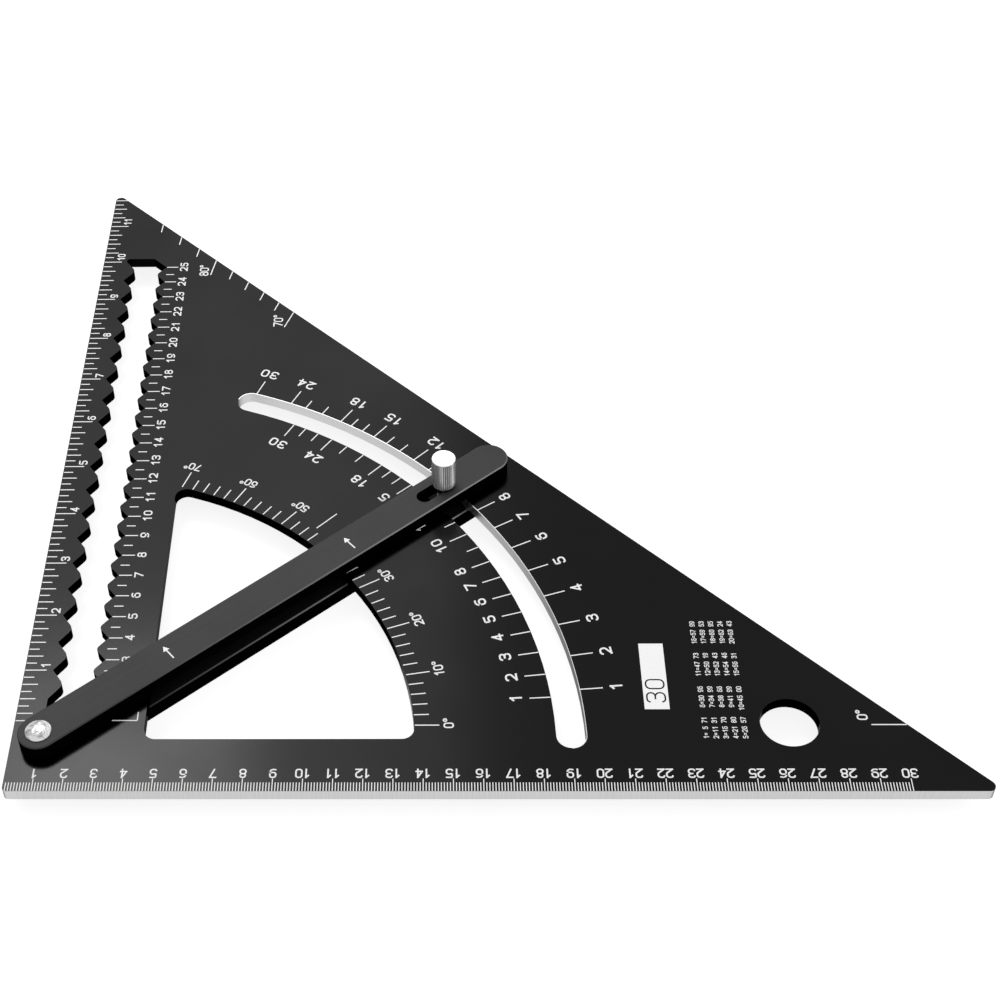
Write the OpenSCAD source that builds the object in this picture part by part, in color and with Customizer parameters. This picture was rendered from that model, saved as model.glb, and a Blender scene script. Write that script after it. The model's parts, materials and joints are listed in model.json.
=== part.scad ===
// Adjustable set square: a right-angled plate and a clamp fence that swings across it.
// Drawn with the plate's right-angled corner at zero, x along the base leg,
// y along the upright leg and z = 0 on the plate's top face.

/* [Plate] */
// Length of each leg, measured to the sharp corners
leg = 330; // [305:1:360]
// Thickness of the plate
plate_t = 4.5; // [3.5:0.1:6]
// Radius of the two acute tips
tip_r = 2.2; // [1:0.1:4]
// Radius of the right-angled corner
corner_r = 1.6; // [0.5:0.1:4]

/* [Window] */
// Distance from the upright leg to the window
window_left = 44.9; // [42:0.1:60]
// Distance from the base leg to the window
window_low = 21.4; // [15:0.1:40]
// Radius of the window's curved side about the pivot
window_r = 126.6; // [90:0.1:140]
// Radius of the window's corners
window_fillet = 4.2; // [2:0.1:8]

/* [Scribing slot] */
// Height above the base leg at which both scribing scales start
scale_zero = 26.1; // [25:0.1:28]
// Distance from the upright leg to the tips of the inch notches
inch_notch_x = 10; // [9:0.1:11]
// Distance from the upright leg to the tips of the centimetre notches
cm_notch_x = 27.9; // [27:0.1:31]
// Depth of the inch notches
inch_notch_d = 3.9; // [3:0.1:5]
// Depth of the centimetre notches
cm_notch_d = 3.5; // [3:0.1:4.5]
// Nose radius of the scallops between inch notches
inch_nose_r = 3; // [1.5:0.1:3.5]
// Nose radius of the scallops between centimetre notches
cm_nose_r = 2; // [1:0.1:2.5]
// Bevel across the slot's two corners on the centimetre side
slot_bevel = 6; // [4:0.1:8]
// Fillet of the slot's two corners on the inch side
slot_fillet = 1.2; // [0.5:0.1:3]
// Least metal between the slot and the sloping edge, measured up the leg
slot_web = 19; // [14:0.5:28]

/* [Arc slot and hanging hole] */
// Radius of the arc slot's centre line about the pivot
arc_r = 179.5; // [160:0.1:184]
// Width of the arc slot
arc_w = 10.2; // [8:0.1:14]
// Fence angle at the lower stop, in degrees from the base leg
swing_low = 0; // [0:0.5:10]
// Fence angle at the upper stop, in degrees from the base leg
swing_high = 71.3; // [60:0.1:74]
// Distance from the sharp base tip to the hanging hole
hole_from_tip = 66.4; // [60:0.1:90]
// Height of the hanging hole above the base leg
hole_y = 28.1; // [22:0.1:30]
// Radius of the hanging hole
hole_r = 10; // [6:0.1:11]

/* [Fence] */
// Distance from the upright leg to the pivot
pivot_x = 10.4; // [10:0.1:13]
// Height of the pivot above the base leg
pivot_y = 20.15; // [18:0.05:21]
// Fence angle as it stands, in degrees from the base leg
fence_angle = 40.2; // [15:0.1:60]
// Width of the upper bar
upper_w = 14.4; // [12:0.1:16]
// Width of the lower bar, whose straight side the work lies against
lower_w = 16; // [12:0.1:18]
// Thickness of the upper bar
upper_t = 6; // [4:0.1:8]
// Thickness of the lower bar
lower_t = 7; // [5.5:0.1:9]
// Length of the bars past the clamp, to the centre of the round end
bar_past_clamp = 22.7; // [12:0.1:26]
// Chamfer along the edges of both bars
bar_chamfer = 0.4; // [0.1:0.1:0.8]
// Half width of the oblong slot in the upper bar
oblong_r = 3; // [2.8:0.1:3.6]
// Length of the oblong slot inwards from the clamp, to its end's centre
oblong_in = 9.5; // [5:0.1:14]
// Length of the oblong slot outwards from the clamp, to its end's centre
oblong_out = 1.5; // [0.1:0.1:2]

/* [Pivot] */
// Radius of the rivet's shank
rivet_r = 2.5; // [2:0.1:2.8]
// Radius of the rivet's domed head
rivet_head_r = 4.5; // [4.2:0.1:5.5]
// Height of the rivet's domed head
rivet_head_h = 1.4; // [1:0.1:2]
// Straight rim under the rivet's dome
rivet_rim = 0.35; // [0.2:0.05:0.6]
// Radius of the rivet's set end
rivet_tail_r = 3.9; // [3.5:0.1:4.3]
// Height of the rivet's set end
rivet_tail_h = 1.1; // [0.7:0.1:1.4]
// Outer radius of the sleeve that the plate turns on
sleeve_r = 4; // [3.6:0.1:4.6]
// Radius of the washer under the rivet's set end
washer_r = 4.5; // [4.3:0.1:5]
// Thickness of the washer
washer_t = 0.8; // [0.5:0.1:1.2]

/* [Clamp] */
// Radius of the clamp screw's shank
screw_r = 2.5; // [2:0.1:2.6]
// Length of the screw's shank above the upper bar
screw_above = 8.5; // [6:0.1:10]
// Radius of the clamp screw's head
screw_head_r = 4.3; // [3.8:0.1:4.8]
// Height of the clamp screw's head
screw_head_h = 2; // [1.6:0.1:2.4]
// Distance across the flats of the hexagon socket
socket_af = 3; // [2:0.1:4]
// Depth of the hexagon socket
socket_d = 1.2; // [0.8:0.1:1.4]
// Radius of the small washer under the thumb nut
clamp_washer_r = 4.2; // [4:0.1:5]
// Thickness of the small washer
clamp_washer_t = 1; // [0.6:0.1:1.4]
// Radius of the thumb nut over its knurl
nut_r = 4.55; // [4.4:0.05:6]
// Height of the thumb nut's knurled body
nut_h = 13; // [11:0.1:18]
// Radius of the spigot under the nut that holds the washer
spigot_r = 3.3; // [3:0.1:3.6]
// Bevel along both edges of the nut
nut_bevel = 0.35; // [0.2:0.05:0.6]
// Number of ridges in the knurl
knurl_count = 36; // [24:2:60]
// Depth of the knurl
knurl_d = 0.25; // [0.1:0.01:0.3]

/* [Fits] */
// Clearance between the upper bar and the plate
gap_above = 0.05; // [0.03:0.01:0.3]
// Clearance between the plate and the lower bar
gap_below = 0.3; // [0.05:0.05:0.8]
// Radial running clearance of the sleeve in the plate
run_fit = 0.05; // [0.02:0.01:0.1]
// Radial clearance of the rivet, the screw and the nut's thread
bolt_fit = 0.05; // [0.03:0.01:0.1]
// Clearance between the screw and the arc slot's end at each stop
stop_gap = 0.1; // [0.05:0.05:0.3]
// Radial and depth clearance of the recesses in the lower bar and the nut
recess_fit = 0.2; // [0.1:0.05:0.4]
// Clearance between the nut's spigot and the upper bar
spigot_gap = 0.1; // [0.05:0.05:0.3]

/* [Hidden] */
$fn = 96;
// Fineness of the two wide arcs
arc_fine = 288;
// Overrun of every cut past the surface it breaks
over = 1;
half_inch = 12.7;
centimetre = 10;
right_angle = 90;
acute_half = 22.5;
slope = 45;

black = "#35373a";
bar_black = "#46484b";
steel = "#c4c7ca";
dark_steel = "#3a3b3d";
bright = "#dfe1e3";

// Places worked out from the sizes
pivot = [pivot_x, pivot_y];
plate_reach = leg - tip_r * sqrt(2);
upper_z = gap_above;
upper_top = upper_z + upper_t;
lower_top = -plate_t - gap_below;
lower_z = lower_top - lower_t;
stand = -lower_z;
bar_len = arc_r + bar_past_clamp;
washer_recess = washer_t + rivet_tail_h + recess_fit;
head_recess = screw_head_h + recess_fit;
shank_clear = bolt_fit + rivet_r;
screw_clear = bolt_fit + screw_r;

// Angle that the slot's round end keeps from the fence's stop
stop_angle = asin((arc_w / 2 - screw_r - stop_gap) / arc_r);
arc_start = swing_low + stop_angle;
arc_end = swing_high - stop_angle;

// Numbers of notches that fit under the sloping edge
cm_last = floor((leg - cm_notch_x - slot_web - slot_bevel - scale_zero) / centimetre);
slot_top = scale_zero + cm_last * centimetre + slot_bevel;
slot_low = scale_zero + centimetre - slot_bevel;
inch_last = floor((slot_top - slot_fillet - scale_zero) / half_inch);

function polar(r, a) = [r * cos(a), r * sin(a)];

// Places the whole square over the middle of its outline, standing on the lower bar
module stand_on_base() {
    translate([-plate_reach / 2, -plate_reach / 2, stand])
        children();
}

// Places a piece of the fence, drawn along x from the pivot
module on_fence() {
    stand_on_base()
        translate(pivot)
            rotate([0, 0, fence_angle])
                children();
}

// What a fillet takes off a corner: a patch of corner points less its round
module corner_waste(centre, r, points) {
    difference() {
        polygon(concat([centre], points));
        translate(centre)
            circle(r);
    }
}

// What the rounding takes off the base tip
module tip_waste() {
    centre = [leg - tip_r / tan(acute_half), tip_r];
    corner_waste(centre, tip_r,
        [[centre.x, -over], [leg + over, -over], centre + polar(tip_r + over, slope)]);
}

module plate_outline() {
    difference() {
        polygon([[0, 0], [leg, 0], [0, leg]]);
        corner_waste([corner_r, corner_r], corner_r,
            [[corner_r, -over], [-over, -over], [-over, corner_r]]);
        tip_waste();
        mirror([1, -1, 0])
            tip_waste();
    }
}

// Quarter window: two straight sides and one curved about the pivot
module window_shape() {
    inner_r = window_r - window_fillet;
    low_y = window_low + window_fillet;
    left_x = window_left + window_fillet;
    right = [pivot_x + sqrt(pow(inner_r, 2) - pow(low_y - pivot_y, 2)), low_y];
    top = [left_x, pivot_y + sqrt(pow(inner_r, 2) - pow(left_x - pivot_x, 2))];
    right_a = atan2(right.y - pivot_y, right.x - pivot_x);
    top_a = atan2(top.y - pivot_y, top.x - pivot_x);
    difference() {
        intersection() {
            translate(pivot)
                circle(window_r, $fn = arc_fine);
            translate([window_left, window_low])
                square(window_r);
        }
        corner_waste([left_x, low_y], window_fillet,
            [[window_left - over, low_y], [window_left - over, window_low - over],
             [left_x, window_low - over]]);
        corner_waste(right, window_fillet,
            [[right.x, window_low - over], [pivot_x + window_r + over, window_low - over],
             right + polar(window_fillet + over, right_a)]);
        corner_waste(top, window_fillet,
            [top + polar(window_fillet + over, top_a), [window_left - over, pivot_y + window_r + over],
             [window_left - over, top.y]]);
    }
}

// One scallop along +y from the notch tip at zero, with its nose towards +x
module scallop(pitch, depth, nose_r) {
    nose = [depth - nose_r, pitch / 2];
    reach = norm(nose);
    flank = asin(nose_r / reach) + atan2(nose.x, nose.y);
    touch = polar(nose_r, flank);
    polygon([[0, 0], [nose.x + touch.x, nose.y - touch.y], [nose.x + touch.x, nose.y + touch.y],
        [0, pitch]]);
    translate(nose)
        circle(nose_r);
}

// Long slot with a scallop between every two notches on both sides
module scribing_slot() {
    difference() {
        translate([inch_notch_x, slot_low])
            square([cm_notch_x - inch_notch_x, slot_top - slot_low]);
        for (i = [1 : inch_last - 1])
            translate([inch_notch_x, scale_zero + i * half_inch])
                scallop(half_inch, inch_notch_d, inch_nose_r);
        for (i = [1 : cm_last - 1])
            translate([cm_notch_x, scale_zero + i * centimetre])
                mirror([1, 0, 0])
                    scallop(centimetre, cm_notch_d, cm_nose_r);
        polygon([[cm_notch_x - slot_bevel, slot_top], [cm_notch_x + over, slot_top],
            [cm_notch_x + over, slot_top - slot_bevel - over],
            [cm_notch_x, slot_top - slot_bevel]]);
        polygon([[cm_notch_x - slot_bevel, slot_low], [cm_notch_x, slot_low + slot_bevel],
            [cm_notch_x + over, slot_low + slot_bevel + over], [cm_notch_x + over, slot_low]]);
        corner_waste([inch_notch_x + slot_fillet, slot_top - slot_fillet], slot_fillet,
            [[inch_notch_x + slot_fillet, slot_top + over], [inch_notch_x - over, slot_top + over],
             [inch_notch_x - over, slot_top - slot_fillet]]);
        corner_waste([inch_notch_x + slot_fillet, slot_low + slot_fillet], slot_fillet,
            [[inch_notch_x - over, slot_low + slot_fillet], [inch_notch_x - over, slot_low - over],
             [inch_notch_x + slot_fillet, slot_low - over]]);
    }
}

// Curved slot with round ends that the clamp screw travels in
module arc_slot() {
    far = 2 * arc_r;
    translate(pivot) {
        intersection() {
            difference() {
                circle(arc_r + arc_w / 2, $fn = arc_fine);
                circle(arc_r - arc_w / 2, $fn = arc_fine);
            }
            polygon([[0, 0], polar(far, arc_start), polar(far, (arc_start + arc_end) / 2),
                polar(far, arc_end)]);
        }
        for (a = [arc_start, arc_end])
            translate(polar(arc_r, a))
                circle(arc_w / 2);
    }
}

// Flat plate with its window, slots, hanging hole and pivot bore
module plate() {
    color(black)
        stand_on_base()
            difference() {
                translate([0, 0, -plate_t])
                    linear_extrude(height = plate_t)
                        difference() {
                            plate_outline();
                            window_shape();
                            scribing_slot();
                            arc_slot();
                        }
                translate([leg - hole_from_tip, hole_y, -plate_t - over])
                    cylinder(h = plate_t + 2 * over, r = hole_r);
                translate([pivot_x, pivot_y, -plate_t - over])
                    cylinder(h = plate_t + 2 * over, r = sleeve_r + run_fit);
            }
}

// Bar of width w and thickness t with round ends and chamfered edges, standing on z = 0
module bar_blank(w, t) {
    half = w / 2;
    flat = half - bar_chamfer;
    shoulder = t - bar_chamfer;
    rotate([right_angle, 0, right_angle])
        linear_extrude(height = bar_len)
            polygon([[-flat, 0], [flat, 0], [half, bar_chamfer], [half, shoulder], [flat, t],
                [-flat, t], [-half, shoulder], [-half, bar_chamfer]]);
    for (x = [0, bar_len])
        translate([x, 0, 0])
            rotate_extrude()
                polygon([[0, 0], [flat, 0], [half, bar_chamfer], [half, shoulder], [flat, t],
                    [0, t]]);
}

// Upper bar with the rivet's hole and the oblong slot for the clamp screw
module upper_bar() {
    cut = upper_t + 2 * over;
    color(bar_black)
        on_fence()
            difference() {
                translate([0, 0, upper_z])
                    bar_blank(upper_w, upper_t);
                translate([0, 0, upper_z - over])
                    cylinder(h = cut, r = shank_clear);
                for (x = [arc_r - oblong_in, arc_r + oblong_out])
                    translate([x, 0, upper_z - over])
                        cylinder(h = cut, r = oblong_r);
                translate([arc_r - oblong_in, -oblong_r, upper_z - over])
                    cube([oblong_in + oblong_out, 2 * oblong_r, cut]);
            }
}

// Lower bar with a recess from below for the washer and one for the screw's head
module lower_bar() {
    cut = lower_t + 2 * over;
    color(bar_black)
        on_fence()
            difference() {
                translate([0, 0, lower_z])
                    bar_blank(lower_w, lower_t);
                translate([0, 0, lower_z - over])
                    cylinder(h = cut, r = shank_clear);
                translate([0, 0, lower_z - over])
                    cylinder(h = washer_recess + over, r = washer_r + recess_fit);
                translate([arc_r, 0, lower_z - over])
                    cylinder(h = cut, r = screw_clear);
                translate([arc_r, 0, lower_z - over])
                    cylinder(h = head_recess + over, r = screw_head_r + recess_fit);
            }
}

// Rivet with a low dome above and its set end on the washer below
module pivot_rivet() {
    dome_h = rivet_head_h - rivet_rim;
    dome_r = (pow(rivet_head_r, 2) + pow(dome_h, 2)) / (2 * dome_h);
    seat = lower_z + washer_recess - washer_t;
    color(bright)
        on_fence() {
            translate([0, 0, seat - rivet_tail_h])
                cylinder(h = rivet_tail_h, r = rivet_tail_r);
            translate([0, 0, seat - rivet_tail_h])
                cylinder(h = upper_top - seat + rivet_tail_h + rivet_rim, r = rivet_r);
            translate([0, 0, upper_top])
                cylinder(h = rivet_rim, r = rivet_head_r);
            intersection() {
                translate([0, 0, upper_top + rivet_head_h - dome_r])
                    sphere(r = dome_r);
                translate([0, 0, upper_top])
                    cylinder(h = rivet_head_h + over, r = rivet_head_r);
            }
        }
}

// Sleeve that holds the bars apart so that the fence swings freely
module pivot_sleeve() {
    color(steel)
        on_fence()
            difference() {
                translate([0, 0, lower_top])
                    cylinder(h = upper_z - lower_top, r = sleeve_r);
                translate([0, 0, lower_top - over])
                    cylinder(h = upper_z - lower_top + 2 * over, r = shank_clear);
            }
}

// Washer between the lower bar and the rivet's set end
module rivet_washer() {
    seat = lower_z + washer_recess;
    color(steel)
        on_fence()
            difference() {
                translate([0, 0, seat - washer_t])
                    cylinder(h = washer_t, r = washer_r);
                translate([0, 0, seat - washer_t - over])
                    cylinder(h = washer_t + 2 * over, r = shank_clear);
            }
}

// Socket screw that comes up from below through the arc slot
module clamp_screw() {
    seat = lower_z + head_recess;
    color(steel)
        on_fence()
            translate([arc_r, 0, seat - screw_head_h])
                difference() {
                    union() {
                        cylinder(h = screw_head_h, r = screw_head_r);
                        cylinder(h = screw_head_h + upper_top - seat + screw_above, r = screw_r);
                    }
                    translate([0, 0, -over])
                        cylinder(h = socket_d + over, r = socket_af / sqrt(3), $fn = 6);
                }
}

// Outline of the straight knurl, one ridge and one groove at a time
module knurl_outline() {
    turn = 360 / knurl_count;
    polygon([for (i = [0 : knurl_count - 1], side = [0, 1])
        polar(nut_r - side * knurl_d, (i + side / 2) * turn)]);
}

// Small washer that rises with the nut and doesn't turn
module clamp_washer() {
    color(dark_steel)
        on_fence()
            translate([arc_r, 0, upper_top])
                difference() {
                    cylinder(h = clamp_washer_t, r = clamp_washer_r);
                    translate([0, 0, -over])
                        cylinder(h = clamp_washer_t + 2 * over, r = spigot_r + run_fit);
                }
}

// Profile of the nut's knurled body, bevelled at both edges
module nut_profile() {
    edge = nut_r - nut_bevel;
    reach = nut_bevel + over;
    polygon([[0, 0], [edge, 0], [edge + reach, reach], [edge + reach, nut_h - reach],
        [edge, nut_h], [0, nut_h]]);
}

// Tall knurled nut with a blind thread and a spigot that holds the washer
module thumb_nut() {
    color(bright)
        on_fence()
            translate([arc_r, 0, upper_top])
                difference() {
                    union() {
                        translate([0, 0, spigot_gap])
                            cylinder(h = clamp_washer_t, r = spigot_r);
                        translate([0, 0, clamp_washer_t])
                            intersection() {
                                linear_extrude(height = nut_h)
                                    knurl_outline();
                                rotate_extrude()
                                    nut_profile();
                            }
                    }
                    translate([0, 0, -over])
                        cylinder(h = screw_above + recess_fit + over, r = screw_clear);
                }
}

plate();
upper_bar();
lower_bar();
pivot_rivet();
pivot_sleeve();
rivet_washer();
clamp_screw();
clamp_washer();
thumb_nut();
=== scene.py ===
"""Looks of an adjustable set square: its metal finishes, its printed scales and a studio stage."""
import json
import math

import bmesh
import bpy
from bpy.props import FloatProperty, FloatVectorProperty, IntProperty, PointerProperty
from mathutils import Euler, Matrix, Vector


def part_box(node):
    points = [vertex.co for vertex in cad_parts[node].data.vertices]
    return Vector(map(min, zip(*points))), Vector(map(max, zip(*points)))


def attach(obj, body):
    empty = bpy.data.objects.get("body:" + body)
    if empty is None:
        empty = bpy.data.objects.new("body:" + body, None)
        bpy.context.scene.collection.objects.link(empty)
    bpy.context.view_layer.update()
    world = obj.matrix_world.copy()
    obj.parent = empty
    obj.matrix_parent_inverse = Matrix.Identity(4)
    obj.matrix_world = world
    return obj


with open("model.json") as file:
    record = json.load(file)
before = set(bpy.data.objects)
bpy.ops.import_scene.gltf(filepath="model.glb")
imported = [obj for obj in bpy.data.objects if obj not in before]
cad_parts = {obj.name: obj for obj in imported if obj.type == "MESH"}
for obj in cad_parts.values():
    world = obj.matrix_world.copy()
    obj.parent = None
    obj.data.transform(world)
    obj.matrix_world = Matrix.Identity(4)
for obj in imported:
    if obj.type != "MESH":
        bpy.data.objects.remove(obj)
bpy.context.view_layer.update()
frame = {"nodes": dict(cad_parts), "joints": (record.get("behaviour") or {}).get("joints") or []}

bl_info = {
    "name": "Set square scales and finishes",
    "version": (1, 0, 0),
    "blender": (4, 5, 0),
    "location": "View3D > Sidebar > Set square",
    "description": "Prints the scales of an adjustable set square and gives its metal its finishes",
    "category": "Object",
}

MM = 0.001
WHITE = (1.0, 1.0, 1.0, 1.0)
INCH = 25.4
CENTIMETRE = 10.0

# The plate in its own millimetres: zero is its right-angled corner, on its marked face
PLATE_LOW, PLATE_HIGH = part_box("plate")
JOINTS = {joint["name"]: joint for joint in frame["joints"]}
PIVOT = ((Vector(JOINTS["fence_swing"]["pos_m"]) - PLATE_LOW) / MM).to_2d()
CLAMP = ((Vector(JOINTS["nut_turn"]["pos_m"]) - PLATE_LOW) / MM).to_2d()
FENCE_TURN = math.atan2(CLAMP.y - PIVOT.y, CLAMP.x - PIVOT.x)
BAR_TOP = (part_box("upper_bar")[1].z - PLATE_HIGH.z) / MM
LEG = 330.0

# Edges of the openings that the scales stand beside
ARC_R = 179.5
ARC_HALF = 5.1
ARC_ENDS = (math.radians(0.8), math.radians(70.5))
CM_NOTCH_X = 27.9
NOTCH_ZERO = 26.1
# Width of the painted highlight along the arc slot, and how far from the slot and from the plate's outer
# edges a wall counts as cut bare
ARC_RIM = 0.2
ARC_WALL_REACH = 1.0
EDGE_REACH = 1.2
# A face whose normal points up or down by less than the first share is a wall, and one within the
# spread of the second is a sloping rim
WALL_NORMAL = 0.5
RIM_NORMAL = 0.7
RIM_NORMAL_SPREAD = 0.22
# The fence reads at the edge of its bar, so each line keeps this far to one side of the pivot
READING_SIDE = 7.0
# Clear space between two figures, as a share of their height
CLOSE_GAP = 0.065
WIDE_GAP = 0.18


def srgb(code):
    """Linear colour with alpha of an sRGB hex code."""
    shares = [int(code[i:i + 2], 16) / 255 for i in (1, 3, 5)]
    linear = [c / 12.92 if c <= 0.04045 else ((c + 0.055) / 1.055) ** 2.4 for c in shares]
    return (*linear, 1.0)


class PrintSizes(bpy.types.PropertyGroup):
    """Sizes of the printed lines and figures"""
    fine_line: FloatProperty(
        name="Fine line", description="Width of the millimetre lines",
        default=0.3 * MM, precision=5, unit="LENGTH")
    bold_line: FloatProperty(
        name="Bold line", description="Width of the other lines",
        default=0.42 * MM, precision=5, unit="LENGTH")
    ink: FloatProperty(
        name="Mark height", description="How far a mark stands out of the face",
        default=0.02 * MM, precision=5, unit="LENGTH")
    figure_line: FloatProperty(
        name="Figure line", description="Width of a figure's strokes",
        default=0.56 * MM, precision=5, unit="LENGTH")
    bold_figure_line: FloatProperty(
        name="Bold figure line", description="Width of the strokes of the slope figures",
        default=0.7 * MM, precision=5, unit="LENGTH")
    small_line: FloatProperty(
        name="Small figure line", description="Width of the strokes in the table and the panel",
        default=0.29 * MM, precision=5, unit="LENGTH")
    figure_width: FloatProperty(
        name="Figure width", description="Width of a full figure, as a share of its height",
        default=0.66, subtype="FACTOR", min=0.3, max=1.0)
    bold_figure_width: FloatProperty(
        name="Bold figure width", description="Width of a full slope figure, as a share of its height",
        default=0.73, subtype="FACTOR", min=0.3, max=1.0)
    curve_steps: IntProperty(
        name="Figure curve steps", description="Straight pieces in each round corner of a figure",
        default=4, min=1)


class FinishColours(bpy.types.PropertyGroup):
    """Colours of the metals and of the marks"""
    plate: FloatVectorProperty(
        name="Plate", description="Black dye of the anodised plate", subtype="COLOR", size=4,
        default=srgb("#1f1f1f"))
    bar: FloatVectorProperty(
        name="Bars", description="Black dye of the anodised bars", subtype="COLOR", size=4,
        default=srgb("#444444"))
    # Painted shade: the lower bar takes a darker copy of the bars' dye, to stand for the shade it lies in
    low_bar: FloatVectorProperty(
        name="Lower bar", description="Lower bar, seen only in shade", subtype="COLOR", size=4,
        default=srgb("#1e1e1e"))
    # Painted shade: upright faces take a far darker copy of the dye than level faces
    cut_wall: FloatVectorProperty(
        name="Walls' painted shade", description="Upright faces of the plate and the bars", subtype="COLOR",
        size=4, default=srgb("#060606"))
    # Painted highlight on the bars' sloping rims
    arris: FloatVectorProperty(
        name="Bars' rims", description="Sloping rims of the bars", subtype="COLOR", size=4,
        default=srgb("#707070"))
    bare: FloatVectorProperty(
        name="Bare aluminium", description="Edges cut after the dye", subtype="COLOR", size=4,
        default=srgb("#d6d6d6"))
    # Painted highlight along the arc slot's outer rim
    rim: FloatVectorProperty(
        name="Slot rim", description="Painted highlight along the arc slot's outer rim", subtype="COLOR", size=4,
        default=srgb("#dadada"))
    mark: FloatVectorProperty(
        name="Marks", description="Lines and figures", subtype="COLOR", size=4,
        default=srgb("#ffffff"))
    nickel: FloatVectorProperty(
        name="Thumb nut", description="Nickel plate", subtype="COLOR", size=4,
        default=srgb("#f4f4f4"))
    zinc: FloatVectorProperty(
        name="Rivet", description="Zinc plate", subtype="COLOR", size=4,
        default=srgb("#dadada"))
    steel: FloatVectorProperty(
        name="Plain steel", description="Turned steel", subtype="COLOR", size=4,
        default=srgb("#bababa"))
    # Painted shade: the washer under the thumb nut is coloured dark to stand for the shade in the gap
    # there
    blackened: FloatVectorProperty(
        name="Washer's painted shade", description="Dark steel standing for the shade under the thumb nut", subtype="COLOR", size=4,
        default=srgb("#2e2e2e"))


class StageSettings(bpy.types.PropertyGroup):
    """The floor, the lamps and the camera"""
    floor: FloatVectorProperty(
        name="Floor", description="Colour of the studio floor", subtype="COLOR", size=4,
        default=srgb("#989898"))
    lift: FloatProperty(
        name="Floor lift", description="Light added to the floor where it is seen", default=0.86)
    key_power: FloatProperty(name="Key lamp", description="Power of the softbox", default=2.7)
    back_power: FloatProperty(name="Back lamp", description="Power of the back panel", default=7.6)
    fill_power: FloatProperty(name="Fill lamp", description="Power of the fill panel", default=2.0)
    room_level: FloatProperty(
        name="Room light", description="Strength of the light from all round", default=0.62)
    lens: FloatProperty(name="Lens", description="Focal length on a 36 mm sensor", default=66.901)
    shift: FloatProperty(name="Shift", description="Sideways shift of the view", default=0.125)


def add_node(tree, kind, inputs=None, **settings):
    """Adds a node with its settings, and fills or links the inputs that are given."""
    node = tree.nodes.new(kind)
    for key, value in settings.items():
        setattr(node, key, value)
    for key, value in (inputs or {}).items():
        if isinstance(value, bpy.types.NodeSocket):
            tree.links.new(value, node.inputs[key])
        else:
            node.inputs[key].default_value = value
    return node


def blank_material(name):
    """New material with an empty node tree."""
    material = bpy.data.materials.new(name)
    material.use_nodes = True
    material.node_tree.nodes.clear()
    return material


def local_mm(tree, centre=PLATE_LOW, turn=0.0):
    """Position on the piece in millimetres from a centre, turned about the upright."""
    place = add_node(tree, "ShaderNodeTexCoord")
    return add_node(tree, "ShaderNodeMapping", {
        "Vector": place.outputs["Object"], "Location": centre,
        "Rotation": (0.0, 0.0, turn), "Scale": (MM, MM, MM)}, vector_type="TEXTURE").outputs[0]


def close_material(material, **inputs):
    """Adds the surface shader with its inputs, and the output."""
    tree = material.node_tree
    shader = add_node(tree, "ShaderNodeBsdfPrincipled", {
        key.replace("_", " "): value for key, value in inputs.items()})
    add_node(tree, "ShaderNodeOutputMaterial", {"Surface": shader.outputs[0]})
    return material


def upward_share(tree):
    """How far a face looks up or down: one where it is level, and zero where it is upright."""
    normal = add_node(tree, "ShaderNodeNewGeometry").outputs["True Normal"]
    upright = add_node(tree, "ShaderNodeSeparateXYZ", {"Vector": normal}).outputs["Z"]
    return add_node(tree, "ShaderNodeMath", {0: upright}, operation="ABSOLUTE").outputs[0]


def wall_share(tree):
    """One on the upright faces, and zero on the level and sloping ones."""
    return add_node(tree, "ShaderNodeMath", {
        0: upward_share(tree), 1: WALL_NORMAL}, operation="LESS_THAN").outputs[0]


def arris_share(tree):
    """One on the sloping rims, and zero on the level and the upright faces."""
    return add_node(tree, "ShaderNodeMath", {
        0: upward_share(tree), 1: RIM_NORMAL, 2: RIM_NORMAL_SPREAD}, operation="COMPARE").outputs[0]


# Sockets of the node that mixes two colours: the two colours, and the one that comes out
COLOUR_A = 6
COLOUR_B = 7
COLOUR_OUT = 2
# Most of a noise texture's value lies between these two
NOISE_RANGE = {"From Min": 0.3, "From Max": 0.7}
# How far a finish's roughness goes up and down with its grain
GRAIN_CHANGE = 0.02


def layered(tree, colour, *layers):
    """The colour with others laid over it in order, each by its share."""
    for share, other in layers:
        colour = add_node(tree, "ShaderNodeMix", {
            0: share, COLOUR_A: colour, COLOUR_B: other}, data_type="RGBA").outputs[COLOUR_OUT]
    return colour


def shaded(colour, share):
    """The colour with its light cut to a share."""
    return [channel * share for channel in colour[:3]] + [1.0]


def mottled(tree, colour, texture, dark_share):
    """The colour, with its light cut to a share where the texture is high."""
    high = add_node(tree, "ShaderNodeMapRange", {"Value": texture, **NOISE_RANGE}).outputs[0]
    return layered(tree, colour, (high, shaded(colour, dark_share)))


def uneven_roughness(tree, texture, low, high, grain):
    """Roughness from low to high with a texture, and a little up and down with the grain."""
    level = add_node(tree, "ShaderNodeMapRange", {
        "Value": texture, **NOISE_RANGE, "To Min": low, "To Max": high}).outputs[0]
    change = add_node(tree, "ShaderNodeMapRange", {
        "Value": grain, **NOISE_RANGE, "To Min": -GRAIN_CHANGE, "To Max": GRAIN_CHANGE}).outputs[0]
    return add_node(tree, "ShaderNodeMath", {0: level, 1: change}, operation="ADD").outputs[0]


# Tints of what a dyed face mirrors at a grazing angle, on level faces and on walls. Both were set by
# trial against the photo's brightness
DYED_GRAZING = (0.5, 0.5, 0.5, 1.0)
# The walls' far lower tint is painted shade
WALL_GRAZING_PAINTED_SHADE = (0.1, 0.1, 0.1, 1.0)


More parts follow.
